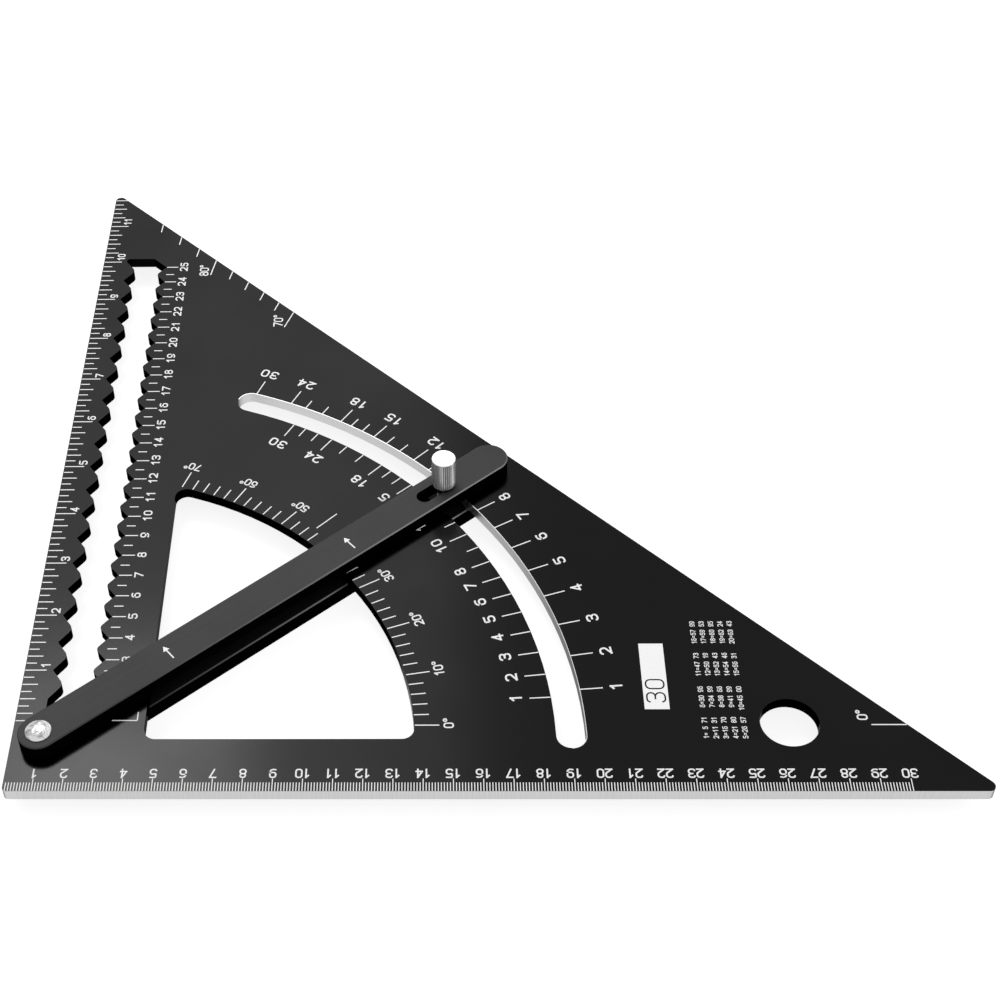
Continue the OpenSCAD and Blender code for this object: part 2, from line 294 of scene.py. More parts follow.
def plate_edge_distance(tree, xyz):
    """Distance in millimetres from the plate's nearest outer edge."""
    both = add_node(tree, "ShaderNodeMath", {0: xyz["X"], 1: xyz["Y"]}, operation="ADD").outputs[0]
    rest = add_node(tree, "ShaderNodeMath", {0: LEG, 1: both}, operation="SUBTRACT").outputs[0]
    slope = add_node(tree, "ShaderNodeMath", {0: rest, 1: math.sqrt(2)}, operation="DIVIDE").outputs[0]
    leg = add_node(tree, "ShaderNodeMath", {0: xyz["X"], 1: xyz["Y"]}, operation="MINIMUM").outputs[0]
    return add_node(tree, "ShaderNodeMath", {0: leg, 1: slope}, operation="MINIMUM").outputs[0]


def arc_slot_distances(tree, xyz):
    """Distances in millimetres from the arc slot's centre line and from the pivot.

    A point's nearest place on the line has the same angle about the pivot."""
    east = add_node(tree, "ShaderNodeMath", {0: xyz["X"], 1: PIVOT.x}, operation="SUBTRACT").outputs[0]
    north = add_node(tree, "ShaderNodeMath", {0: xyz["Y"], 1: PIVOT.y}, operation="SUBTRACT").outputs[0]
    angle = add_node(tree, "ShaderNodeMath", {0: north, 1: east}, operation="ARCTAN2").outputs[0]
    angle = add_node(tree, "ShaderNodeClamp", {
        "Value": angle, "Min": ARC_ENDS[0], "Max": ARC_ENDS[1]}).outputs[0]
    beside = []
    for axis, operation in ((east, "COSINE"), (north, "SINE")):
        share = add_node(tree, "ShaderNodeMath", {0: angle}, operation=operation).outputs[0]
        beside.append(add_node(tree, "ShaderNodeMath", {
            0: share, 1: -ARC_R, 2: axis}, operation="MULTIPLY_ADD").outputs[0])
    distances = []
    for x, y in (beside, (east, north)):
        flat = add_node(tree, "ShaderNodeCombineXYZ", {"X": x, "Y": y}).outputs[0]
        distances.append(add_node(tree, "ShaderNodeVectorMath", {
            0: flat}, operation="LENGTH").outputs["Value"])
    return distances


def cut_shares(tree, xyz):
    """Shares over the plate: one on all walls, on the walls cut bare, and on the painted highlight along
    the slot's rim.
    """
    wall = wall_share(tree)
    from_line, from_pivot = arc_slot_distances(tree, xyz)
    outer = add_node(tree, "ShaderNodeMath", {
        0: plate_edge_distance(tree, xyz), 1: EDGE_REACH}, operation="LESS_THAN").outputs[0]
    in_arc = add_node(tree, "ShaderNodeMath", {
        0: from_line, 1: ARC_HALF + ARC_WALL_REACH}, operation="LESS_THAN").outputs[0]
    cut = add_node(tree, "ShaderNodeMath", {0: outer, 1: in_arc}, operation="MAXIMUM").outputs[0]
    bare = add_node(tree, "ShaderNodeMath", {0: wall, 1: cut}, operation="MULTIPLY").outputs[0]
    # Painted highlight: a fine bright line along the slot's outer rim. That it is bare
    # metal is a guess
    rim = add_node(tree, "ShaderNodeMath", {
        0: from_line, 1: ARC_HALF + ARC_RIM}, operation="LESS_THAN").outputs[0]
    outside = add_node(tree, "ShaderNodeMath", {
        0: from_pivot, 1: ARC_R}, operation="GREATER_THAN").outputs[0]
    no_wall = add_node(tree, "ShaderNodeMath", {0: 1.0, 1: wall}, operation="SUBTRACT").outputs[0]
    for share in (outside, no_wall):
        rim = add_node(tree, "ShaderNodeMath", {0: rim, 1: share}, operation="MULTIPLY").outputs[0]
    return wall, bare, rim


def anodised_plate(colours):
    """Sheet aluminium, bead blasted and dyed black, with the outer edges and the arc slot cut bare.

    The blasting gives a soft sheen with a fine grain. The cut edges are bright, with the cutter's
    marks across them."""
    material = blank_material("black_anodised_blasted_aluminium")
    tree = material.node_tree
    place = local_mm(tree, Vector((PLATE_LOW.x, PLATE_LOW.y, PLATE_HIGH.z)))
    xyz = add_node(tree, "ShaderNodeSeparateXYZ", {"Vector": place}).outputs
    wall, bare, rim = cut_shares(tree, xyz)
    # The grain is coarser than real bead blasting so that it shows
    grain_mm, cloud_mm, marks_mm = 0.35, 38.0, 0.6
    grain = add_node(tree, "ShaderNodeTexNoise", {
        "Vector": place, "Scale": 1 / grain_mm, "Detail": 3.0, "Roughness": 0.6}).outputs["Fac"]
    cloud = add_node(tree, "ShaderNodeTexNoise", {
        "Vector": place, "Scale": 1 / cloud_mm, "Detail": 2.0}).outputs["Fac"]
    # The cutter's marks follow one another along each cut edge
    along = add_node(tree, "ShaderNodeMath", {0: xyz["X"], 1: xyz["Y"]}, operation="SUBTRACT").outputs[0]
    lines = add_node(tree, "ShaderNodeCombineXYZ", {"X": along}).outputs[0]
    marks = add_node(tree, "ShaderNodeTexNoise", {
        "Vector": lines, "Scale": 1 / marks_mm, "Detail": 2.0}).outputs["Fac"]
    dye = mottled(tree, colours.plate, cloud, 0.88)
    milled = mottled(tree, colours.bare, marks, 0.86)
    # Painted shade on the walls that aren't cut bare, and a painted highlight on the slot's rim
    tone = layered(tree, dye, (wall, colours.cut_wall), (bare, milled), (rim, colours.rim))
    rough = uneven_roughness(tree, cloud, 0.15, 0.19, grain)
    rough = add_node(tree, "ShaderNodeMix", {"Factor": bare, "A": rough, "B": 0.3}).outputs["Result"]
    bump = add_node(tree, "ShaderNodeBump", {
        "Height": grain, "Strength": 0.12, "Distance": 0.05 * MM}).outputs[0]
    return close_material(material, Base_Color=tone, Metallic=1.0, Roughness=rough,
        Specular_Tint=layered(tree, DYED_GRAZING, (wall, WALL_GRAZING_PAINTED_SHADE)), Normal=bump)


def anodised_bar(name, colour, colours):
    """Drawn aluminium bar, dyed black: faint straight lines along it and a dull sheen."""
    material = blank_material(name)
    tree = material.node_tree
    place = local_mm(tree, Vector(JOINTS["fence_swing"]["pos_m"]), FENCE_TURN)
    lines_mm, grain_mm, cloud_mm = 0.5, 0.3, 25.0
    # Lines across the bar, stretched along it
    drawn = add_node(tree, "ShaderNodeMapping", {"Vector": place, "Scale": (0.01, 1.0, 1.0)}).outputs[0]
    lines = add_node(tree, "ShaderNodeTexNoise", {
        "Vector": drawn, "Scale": 1 / lines_mm, "Detail": 3.0, "Roughness": 0.6}).outputs["Fac"]
    grain = add_node(tree, "ShaderNodeTexNoise", {
        "Vector": place, "Scale": 1 / grain_mm, "Detail": 2.0}).outputs["Fac"]
    cloud = add_node(tree, "ShaderNodeTexNoise", {
        "Vector": place, "Scale": 1 / cloud_mm, "Detail": 2.0}).outputs["Fac"]
    # Painted highlight: a light line on the rims, which fades towards the pivot
    faded, full, smoother = 20.0, 160.0, 0.2
    along = add_node(tree, "ShaderNodeSeparateXYZ", {"Vector": place}).outputs["X"]
    strength = add_node(tree, "ShaderNodeMapRange", {
        "Value": along, "From Min": faded, "From Max": full}).outputs[0]
    arris = add_node(tree, "ShaderNodeMath", {
        0: arris_share(tree), 1: strength}, operation="MULTIPLY").outputs[0]
    wall = wall_share(tree)
    # For the lower bar this colour carries painted shade
    dye = mottled(tree, colour, cloud, 0.9)
    # Painted shade on the walls
    tone = layered(tree, dye, (wall, colours.cut_wall), (arris, colours.arris))
    rough = uneven_roughness(tree, lines, 0.64, 0.7, grain)
    rough = add_node(tree, "ShaderNodeMath", {
        0: arris, 1: -smoother, 2: rough}, operation="MULTIPLY_ADD").outputs[0]
    height = add_node(tree, "ShaderNodeMath", {0: lines, 1: grain}, operation="ADD").outputs[0]
    bump = add_node(tree, "ShaderNodeBump", {
        "Height": height, "Strength": 0.1, "Distance": 0.04 * MM}).outputs[0]
    return close_material(material, Base_Color=tone, Metallic=1.0, Roughness=rough,
        Specular_Tint=layered(tree, DYED_GRAZING, (wall, WALL_GRAZING_PAINTED_SHADE)), Normal=bump)


def turned_steel(name, colour, roughness, centre, ring_mm=0.35, relief=0.5, dents_mm=None):
    """Turned metal: fine rings about the axis and, where asked for, dull dents as of a hammer."""
    material = blank_material(name)
    tree = material.node_tree
    grain_mm, grain_change = 0.25, 0.05
    place = local_mm(tree, centre)
    xyz = add_node(tree, "ShaderNodeSeparateXYZ", {"Vector": place}).outputs
    flat = add_node(tree, "ShaderNodeCombineXYZ", {"X": xyz["X"], "Y": xyz["Y"]}).outputs[0]
    radius = add_node(tree, "ShaderNodeVectorMath", {0: flat}, operation="LENGTH").outputs["Value"]
    ring_place = add_node(tree, "ShaderNodeCombineXYZ", {"X": radius, "Z": xyz["Z"]}).outputs[0]
    rings = add_node(tree, "ShaderNodeTexNoise", {
        "Vector": ring_place, "Scale": 1 / ring_mm, "Detail": 2.0}).outputs["Fac"]
    grain = add_node(tree, "ShaderNodeTexNoise", {
        "Vector": place, "Scale": 1 / grain_mm, "Detail": 2.0}).outputs["Fac"]
    tone = mottled(tree, colour, rings, 0.82)
    rough = add_node(tree, "ShaderNodeMapRange", {
        "Value": grain, **NOISE_RANGE,
        "To Min": roughness - grain_change, "To Max": roughness + grain_change}).outputs[0]
    height = add_node(tree, "ShaderNodeMath", {
        0: grain, 1: 0.5, 2: rings}, operation="MULTIPLY_ADD").outputs[0]
    depth = 0.03
    if dents_mm:
        dents = add_node(tree, "ShaderNodeTexNoise", {
            "Vector": place, "Scale": 1 / dents_mm, "Detail": 1.5, "Distortion": 0.6}).outputs["Fac"]
        dull = add_node(tree, "ShaderNodeMapRange", {
            "Value": dents, "From Min": 0.42, "From Max": 0.62}).outputs[0]
        tone = layered(tree, tone, (dull, shaded(colour, 0.42)))
        height = add_node(tree, "ShaderNodeMath", {
            0: dents, 1: 9.0, 2: height}, operation="MULTIPLY_ADD").outputs[0]
        depth = 0.08
    bump = add_node(tree, "ShaderNodeBump", {
        "Height": height, "Strength": relief, "Distance": depth * MM}).outputs[0]
    return close_material(material, Base_Color=tone, Metallic=1.0, Roughness=rough, Normal=bump)


def etched_mark(colours):
    """Matt, nearly white marks, taken to be laser-etched anodising, with a slightly uneven burn."""
    material = blank_material("laser_etched_oxide")
    tree = material.node_tree
    burn_mm = 0.5
    burn = add_node(tree, "ShaderNodeTexNoise", {
        "Vector": local_mm(tree), "Scale": 1 / burn_mm, "Detail": 2.0}).outputs["Fac"]
    tone = mottled(tree, colours.mark, burn, 0.93)
    return close_material(material, Base_Color=tone, Roughness=0.7)


def paint(node, material):
    """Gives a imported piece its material."""
    slots = frame["nodes"][node].material_slots
    if not slots:
        raise RuntimeError(f"{node} has no material slot")
    for item in slots:
        item.material = material


class SQUARE_OT_finish_metal(bpy.types.Operator):
    """Give each metal piece its finish"""
    bl_idname = "square.finish_metal"
    bl_label = "Finish the metal"

    def execute(self, context):
        colours = context.scene.square_colours
        pivot = Vector(JOINTS["fence_swing"]["pos_m"])
        clamp = Vector(JOINTS["nut_turn"]["pos_m"])
        plate = anodised_plate(colours)
        paint("plate", plate)
        paint("upper_bar", anodised_bar("black_anodised_drawn_aluminium", colours.bar, colours))
        # The lower bar's darker colour is painted shade
        paint("lower_bar", anodised_bar("black_anodised_drawn_fence_aluminium", colours.low_bar, colours))
        paint("pivot_rivet", turned_steel("zinc_plated_steel", colours.zinc, 0.3, pivot, dents_mm=2.2))
        steel = turned_steel("plain_turned_steel", colours.steel, 0.35, pivot)
        paint("pivot_sleeve", steel)
        paint("rivet_washer", steel)
        paint("clamp_screw", turned_steel("plain_turned_screw_steel", colours.steel, 0.35, clamp))
        # The washer's dark colour is painted shade
        paint("clamp_washer", turned_steel("oil_blackened_steel", colours.blackened, 0.4, clamp))
        paint("thumb_nut", turned_steel("nickel_plated_steel", colours.nickel, 0.42, clamp, relief=0.15))
        return {"FINISHED"}


def shared_mark(context):
    """The one material of all marks."""
    found = bpy.data.materials.get("laser_etched_oxide")
    return found or etched_mark(context.scene.square_colours)


def line_outputs(tree, points, reach, turn, width, height, material):
    """Ends a node tree: a flat line on each point, made real, with its material."""
    unit = add_node(tree, "GeometryNodeMeshCube", {"Size": (1.0, 1.0, 1.0)}).outputs["Mesh"]
    from_end = add_node(tree, "GeometryNodeTransform", {
        "Geometry": unit, "Translation": (0.5, 0.0, 0.0)}).outputs["Geometry"]
    size = add_node(tree, "ShaderNodeCombineXYZ", {"X": reach, "Y": width, "Z": height}).outputs[0]
    angle = add_node(tree, "ShaderNodeCombineXYZ", {"Z": turn}).outputs[0]
    lines = add_node(tree, "GeometryNodeInstanceOnPoints", {
        "Points": points, "Instance": from_end, "Rotation": angle, "Scale": size}).outputs["Instances"]
    real = add_node(tree, "GeometryNodeRealizeInstances", {"Geometry": lines}).outputs["Geometry"]
    inked = add_node(tree, "GeometryNodeSetMaterial", {
        "Geometry": real, "Material": material}).outputs["Geometry"]
    add_node(tree, "NodeGroupOutput", {"Geometry": inked})


def new_tree(name, sockets):
    """Node tree with a geometry in and out, and the named inputs; returns it and its input node."""
    tree = bpy.data.node_groups.new(name, "GeometryNodeTree")
    tree.interface.new_socket(name="Geometry", in_out="INPUT", socket_type="NodeSocketGeometry")
    for label, kind in sockets.items():
        tree.interface.new_socket(name=label, in_out="INPUT", socket_type="NodeSocket" + kind)
    tree.interface.new_socket(name="Geometry", in_out="OUTPUT", socket_type="NodeSocketGeometry")
    return tree, add_node(tree, "NodeGroupInput")


def ruler_tree():
    """Straight scale: lines in steps from a first place, with longer ones at even intervals."""
    name = "Ruler lines"
    if name in bpy.data.node_groups:
        return bpy.data.node_groups[name]
    tree, given = new_tree(name, {
        "Count": "Int", "First": "Vector", "Step": "Vector", "First number": "Int",
        "Turn": "Float", "Short": "Float", "Middle": "Float", "Long": "Float",
        "Middle every": "Int", "Long every": "Int", "Line width": "Float", "Mark height": "Float",
        "Material": "Material"})
    start = given.outputs
    points = add_node(tree, "GeometryNodeMeshLine", {
        "Count": start["Count"], "Start Location": start["First"], "Offset": start["Step"]},
        mode="OFFSET").outputs["Mesh"]
    index = add_node(tree, "GeometryNodeInputIndex").outputs["Index"]
    number = add_node(tree, "ShaderNodeMath", {
        0: index, 1: start["First number"]}, operation="ADD").outputs[0]
    reach = start["Short"]
    for label in ("Middle", "Long"):
        rest = add_node(tree, "ShaderNodeMath", {
            0: number, 1: start[label + " every"]}, operation="MODULO").outputs[0]
        hit = add_node(tree, "ShaderNodeMath", {0: rest, 1: 0.5}, operation="LESS_THAN").outputs[0]
        reach = add_node(tree, "GeometryNodeSwitch", {
            "Switch": hit, "False": reach, "True": start[label]}, input_type="FLOAT").outputs[0]
    line_outputs(tree, points, reach, start["Turn"], start["Line width"], start["Mark height"],
        start["Material"])
    return tree


def fan_tree():
    """Lines on the points of a mesh, each with the point's own turn and reach."""
    name = "Fan lines"
    if name in bpy.data.node_groups:
        return bpy.data.node_groups[name]
    tree, given = new_tree(name, {
        "Line width": "Float", "Mark height": "Float", "Material": "Material"})
    start = given.outputs
    own = {label: add_node(tree, "GeometryNodeInputNamedAttribute", {"Name": label},
        data_type="FLOAT").outputs["Attribute"] for label in ("reach", "turn")}
    line_outputs(tree, start["Geometry"], own["reach"], own["turn"], start["Line width"],
        start["Mark height"], start["Material"])
    return tree


def link_piece(name, mesh, body):
    """New piece of the object, which moves with one of its bodies."""
    piece = bpy.data.objects.new(name, mesh)
    bpy.context.scene.collection.objects.link(piece)
    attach(piece, body)
    return piece


def grown_piece(name, body, tree, carrier, inputs):
    """Runs a node tree on a carrier mesh, and keeps the result as a plain mesh."""
    source = bpy.data.objects.new(name + "_source", carrier)
    bpy.context.scene.collection.objects.link(source)
    modifier = source.modifiers.new("Lines", "NODES")
    modifier.node_group = tree
    sockets = {item.name: item.identifier for item in tree.interface.items_tree
        if item.item_type == "SOCKET" and item.in_out == "INPUT"}
    for label, value in inputs.items():
        modifier[sockets[label]] = value
    graph = bpy.context.evaluated_depsgraph_get()
    mesh = bpy.data.meshes.new_from_object(source.evaluated_get(graph), depsgraph=graph)
    source.modifiers.remove(modifier)
    bpy.data.objects.remove(source)
    if not mesh.polygons:
        raise RuntimeError(f"{name} came out empty")
    mesh.name = name
    return link_piece(name, mesh, body)


def on_plate(x, y, up=0.0):
    """Place in the frame of a point given in the plate's millimetres."""
    return Vector((PLATE_LOW.x + x * MM, PLATE_LOW.y + y * MM, PLATE_HIGH.z + up * MM))


def print_ruler(context, name, first, step, turn, count, lengths, every, width, first_number=1):
    """Prints a straight scale; lengths are short, middle and long, in millimetres."""
    sizes = context.scene.square_print
    grown_piece(name, "plate", ruler_tree(), bpy.data.meshes.new(name + "_carrier"), {
        "Count": count, "First": on_plate(*first, sizes.ink / MM / 2), "Step": Vector((*step, 0.0)) * MM,
        "First number": first_number, "Turn": math.radians(turn), "Short": lengths[0] * MM,
        "Middle": lengths[1] * MM, "Long": lengths[2] * MM, "Middle every": every[0],
        "Long every": every[1], "Line width": width, "Mark height": sizes.ink,
        "Material": shared_mark(context)})


def print_fan(context, name, lines):
    """Prints lines given as start x, start y, direction in degrees and length, in millimetres."""
    sizes = context.scene.square_print
    carrier = bpy.data.meshes.new(name + "_carrier")
    carrier.from_pydata([on_plate(x, y, sizes.ink / MM / 2) for x, y, turn, reach in lines], [], [])
    for label, values in (
        ("turn", [math.radians(turn) for x, y, turn, reach in lines]),
        ("reach", [reach * MM for x, y, turn, reach in lines])):
        carrier.attributes.new(label, "FLOAT", "POINT").data.foreach_set("value", values)
    grown_piece(name, "plate", fan_tree(), carrier, {
        "Line width": sizes.bold_line, "Mark height": sizes.ink, "Material": shared_mark(context)})


# How wide each figure is beside a full one, and its strokes. A stroke is closed or open, and runs
# through places across and up the figure, each with the radius of its corner. All are shares of
# the space between the middles of the outermost strokes
ROUND = 0.42
FIGURE_SHARES = {
    "0": (1.0, [(True, [(0, 0, ROUND), (1, 0, ROUND), (1, 1, ROUND), (0, 1, ROUND)])]),
    "1": (0.95, [(False, [(0.24, 0.76, 0), (0.66, 1, 0)]), (False, [(0.66, 1, 0), (0.66, 0, 0)])]),
    "2": (1.0, [
        (False, [(0, 0.84, 0), (0.06, 1, 0.3), (1, 1, ROUND), (1, 0.5, 0.3), (0, 0, 0)]),
        (False, [(0, 0, 0), (1, 0, 0)])]),
    "3": (1.0, [
        (False, [(0, 0.86, 0), (0.06, 1, 0.3), (1, 1, ROUND), (1, 0.54, ROUND), (0.35, 0.54, 0)]),
        (False, [(0.35, 0.54, 0), (1, 0.54, ROUND), (1, 0, ROUND), (0.06, 0, 0.3), (0, 0.14, 0)])]),
    "4": (1.0, [
        (False, [(0.72, 1, 0), (0.72, 0, 0)]), (False, [(0.72, 1, 0), (0, 0.26, 0)]),
        (False, [(0, 0.26, 0), (1, 0.26, 0)])]),
    "5": (1.0, [
        (False, [(0.95, 1, 0), (0.05, 1, 0.1), (0, 0.54, 0.1), (1, 0.64, ROUND), (1, 0, ROUND),
            (0.06, 0, 0.3), (0, 0.13, 0)])]),
    "6": (1.0, [
        (False, [(0.92, 0.96, 0), (0.6, 1, 0.3), (0, 1, 0.6), (0, 0, ROUND), (1, 0, ROUND),
            (1, 0.62, ROUND), (0, 0.62, 0)])]),
    "7": (1.0, [(False, [(0, 1, 0), (1, 1, 0)]), (False, [(1, 1, 0), (0.3, 0, 0)])]),
    "8": (1.0, [
        (True, [(0, 0, ROUND), (1, 0, ROUND), (1, 0.53, ROUND), (0, 0.53, ROUND)]),
        (True, [(0.06, 0.53, ROUND), (0.94, 0.53, ROUND), (0.94, 1, ROUND), (0.06, 1, ROUND)])]),
    "9": (1.0, [
        (False, [(0.08, 0.04, 0), (0.4, 0, 0.3), (1, 0, 0.6), (1, 1, ROUND), (0, 1, ROUND),
            (0, 0.38, ROUND), (1, 0.38, 0)])]),
    "=": (1.0, [
        (False, [(0.12, 0.34, 0), (0.88, 0.34, 0)]), (False, [(0.12, 0.66, 0), (0.88, 0.66, 0)])]),
    " ": (1.0, []),
}
# A degree ring's diameter, how far it stands past the last figure, and above the figures' top
RING = 1.6
RING_GAP = 0.2
RING_RISE = 0.25
# How far each stroke of a figure lies above the one before, as a share of the marks' height, so
# that crossing strokes have no face in one plane
STROKE_STEP_SHARE = 0.12


def stroke_tree():
    """Flat strokes of one width along the edges of a mesh, with its corners made round."""
    name = "Figure strokes"
    if name in bpy.data.node_groups:
        return bpy.data.node_groups[name]
    tree, given = new_tree(name, {
        "Line width": "Float", "Mark height": "Float", "Corner steps": "Int", "Material": "Material"})
    start = given.outputs
    runs = add_node(tree, "GeometryNodeMeshToCurve", {"Mesh": start["Geometry"]}).outputs["Curve"]
    corner = add_node(tree, "GeometryNodeInputNamedAttribute", {"Name": "corner"},
        data_type="FLOAT").outputs["Attribute"]
    bent = add_node(tree, "GeometryNodeFilletCurve", {
        "Curve": runs, "Count": start["Corner steps"], "Radius": corner, "Limit Radius": True},
        mode="POLY").outputs["Curve"]
    level = add_node(tree, "GeometryNodeSetCurveNormal", {"Curve": bent}, mode="Z_UP").outputs["Curve"]
    section = add_node(tree, "GeometryNodeCurvePrimitiveQuadrilateral", {
        "Width": start["Line width"], "Height": start["Mark height"]}).outputs["Curve"]
    solid = add_node(tree, "GeometryNodeCurveToMesh", {
        "Curve": level, "Profile Curve": section, "Fill Caps": True}).outputs["Mesh"]
    real = add_node(tree, "GeometryNodeRealizeInstances", {"Geometry": solid}).outputs["Geometry"]
    inked = add_node(tree, "GeometryNodeSetMaterial", {
        "Geometry": real, "Material": start["Material"]}).outputs["Geometry"]
    add_node(tree, "NodeGroupOutput", {"Geometry": inked})
    return tree


def stroke_run(closed, points, start, size, corner, line):
    """One stroke in millimetres: closed or not, and its places, each with its corner's radius.

    An open stroke is drawn on by half its width at each end."""
    places = [start + Vector((x * size.x, y * size.y)) for x, y, rounding in points]
    radii = [rounding * corner for x, y, rounding in points]
    if not closed:
        first = (places[0] - places[1]).normalized() * line / 2
        last = (places[-1] - places[-2]).normalized() * line / 2
        places[0] += first
        places[-1] += last
    return closed, list(zip(places, radii))


def figure_runs(text, height, line, width_share, gap, centred=True):
    """Strokes of a line of figures that stands about zero, in millimetres.

    A degree sign at the end isn't counted in the centring."""
    full = width_share * height - line
    tall = height - line
    runs = []
    across = 0.0
    digits = text.rstrip("°")
    for figure in digits:
        share, strokes = FIGURE_SHARES[figure]
        size = Vector((full * share, tall))
        for closed, points in strokes:
            runs.append(stroke_run(closed, points, Vector((across, 0.0)), size, full, line))
        across += full * share + line + gap
    width = across - gap - line
    if text != digits:
        size = Vector((RING - line, RING - line))
        ring = Vector((width + line + RING_GAP, tall - size.y + RING_RISE))
        round_shares = [(x, y, 0.5) for x, y, rounding in FIGURE_SHARES["0"][1][0][1]]
        runs.append(stroke_run(True, round_shares, ring, size, size.x, line))
    middle = Vector((width / 2 if centred else -line / 2, tall / 2))
    return [(closed, [(place - middle, radius) for place, radius in points])
        for closed, points in runs]


def print_figures(context, name, labels, line, share, gap, material=None, centred=True, up=0.0):
    """Prints figures given as text, centre x, centre y, reading direction and height.

    With centred off, the place is the start of the line of figures. A full figure's width and the
    gap between figures are shares of their height."""
    sizes = context.scene.square_print
    verts, edges, corners = [], [], []
    for text, x, y, turn, height in labels:
        spin = Matrix.Rotation(math.radians(turn), 2)
        runs = figure_runs(text, height, line / MM, share, gap * height, centred)
        for step, (closed, points) in enumerate(runs):
            first = len(verts)
            lift = up + sizes.ink / MM * (0.5 + step * STROKE_STEP_SHARE)
            for place, radius in points:
                verts.append(on_plate(*(Vector((x, y)) + spin @ place), lift))
                corners.append(radius * MM)
            last = len(verts) - 1
            edges += [(i, i + 1) for i in range(first, last)]
            if closed:
                edges.append((last, first))
    carrier = bpy.data.meshes.new(name + "_carrier")
    carrier.from_pydata(verts, edges, [])
    carrier.attributes.new("corner", "FLOAT", "POINT").data.foreach_set("value", corners)
    return grown_piece(name, "plate", stroke_tree(), carrier, {
        "Line width": line, "Mark height": sizes.ink, "Corner steps": sizes.curve_steps,
        "Material": material or shared_mark(context)})


def finish_print(build, name, body, material):
    """Turns a bmesh of marks into a piece."""
    mesh = bpy.data.meshes.new(name)
    build.to_mesh(mesh)
    build.free()
    mesh.materials.append(material)
    return link_piece(name, mesh, body)


def beside_pivot(angle, along, side=READING_SIDE):
    """Point at a distance along a direction from the pivot, moved to the left of it."""
    a = math.radians(angle)
    return PIVOT + along * Vector((math.cos(a), math.sin(a))) + side * Vector((-math.sin(a), math.cos(a)))


def fan_line(angle, inner, outer, side=READING_SIDE):
    """Line between two radii about the pivot."""
    start, end = (math.sqrt(r * r - side * side) for r in (inner, outer))
    return (*beside_pivot(angle, start, side), angle, end - start)


def sloping_edge_line(angle, length):
    """Line that ends just short of the plate's sloping edge."""
    start = beside_pivot(angle, 0.0)
    a = math.radians(angle)
    margin = 0.3
    reach = (LEG - start.x - start.y) / (math.cos(a) + math.sin(a)) - margin
    return (*beside_pivot(angle, reach - length), angle, length)


def fan_label(text, angle, along, height, side=READING_SIDE):
    """Figures centred on a line, read square to it with their tops towards the pivot."""
    return (text, *beside_pivot(angle, along, side), angle + 90, height)


class SQUARE_OT_print_base_scale(bpy.types.Operator):
    """Print the millimetre scale along the base leg"""
    bl_idname = "square.print_base_scale"
    bl_label = "Print the base scale"

    def execute(self, context):
        last_cm = 30
        from_edge, lengths = 0.1, (3.4, 3.4, 4.95)
        figure_y, figure_h = 7.15, 3.8
        sizes = context.scene.square_print
        print_ruler(context, "base_scale_lines", (1.0, from_edge), (1.0, 0.0), 90, last_cm * 10,
            lengths, (5, 10), sizes.fine_line)
        print_figures(context, "base_scale_figures",
            [(str(n), n * CENTIMETRE, figure_y, 180, figure_h) for n in range(1, last_cm + 1)],
            sizes.figure_line, sizes.figure_width, CLOSE_GAP)
        return {"FINISHED"}


class SQUARE_OT_print_inch_scale(bpy.types.Operator):
    """Print the inch scale along the upright leg"""
    bl_idname = "square.print_inch_scale"
    bl_label = "Print the inch scale"

    def execute(self, context):
        eighths, last_inch = 94, 11
        from_edge, lengths = 0.25, (3.65, 5.45, 7.55)
        figure_x, figure_h, above = 7.2, 3.4, 1.0
        sizes = context.scene.square_print
        print_ruler(context, "inch_scale_lines", (from_edge, NOTCH_ZERO + INCH / 8), (0.0, INCH / 8),
            0, eighths, lengths, (2, 8), sizes.bold_line)
        print_figures(context, "inch_scale_figures",
            [(str(n), figure_x, NOTCH_ZERO + n * INCH + above, 90, figure_h)
                for n in range(1, last_inch + 1)],
            sizes.figure_line, sizes.figure_width, CLOSE_GAP, centred=False)
        return {"FINISHED"}


class SQUARE_OT_print_notch_scale(bpy.types.Operator):
    """Print the centimetre scale beside the scribing slot"""
    bl_idname = "square.print_notch_scale"
    bl_label = "Print the notch scale"

    def execute(self, context):
        last_cm = 25
        from_slot, lengths = 0.2, (3.4, 3.4, 4.8)
        figure_x, figure_h, above = 35.45, 3.45, 0.2
        start_x, corner_x, corner_y, corner_h = 33.5, 42.2, 29.3, 3.6
        sizes = context.scene.square_print
        print_ruler(context, "notch_scale_lines", (CM_NOTCH_X + from_slot, NOTCH_ZERO + CENTIMETRE),
            (0.0, CENTIMETRE / 2), 0, 2 * last_cm - 1, lengths, (2, 2), sizes.bold_line,
            first_number=2)
        print_figures(context, "notch_scale_figures",
            [(str(n), figure_x, NOTCH_ZERO + n * CENTIMETRE + above, 90, figure_h)
                for n in range(1, last_cm + 1)],
            sizes.figure_line, sizes.bold_figure_width, WIDE_GAP)
        print_fan(context, "notch_scale_corner",
            [(start_x, corner_y, 0, corner_x - start_x), (corner_x, corner_y, 90, corner_h)])
        return {"FINISHED"}


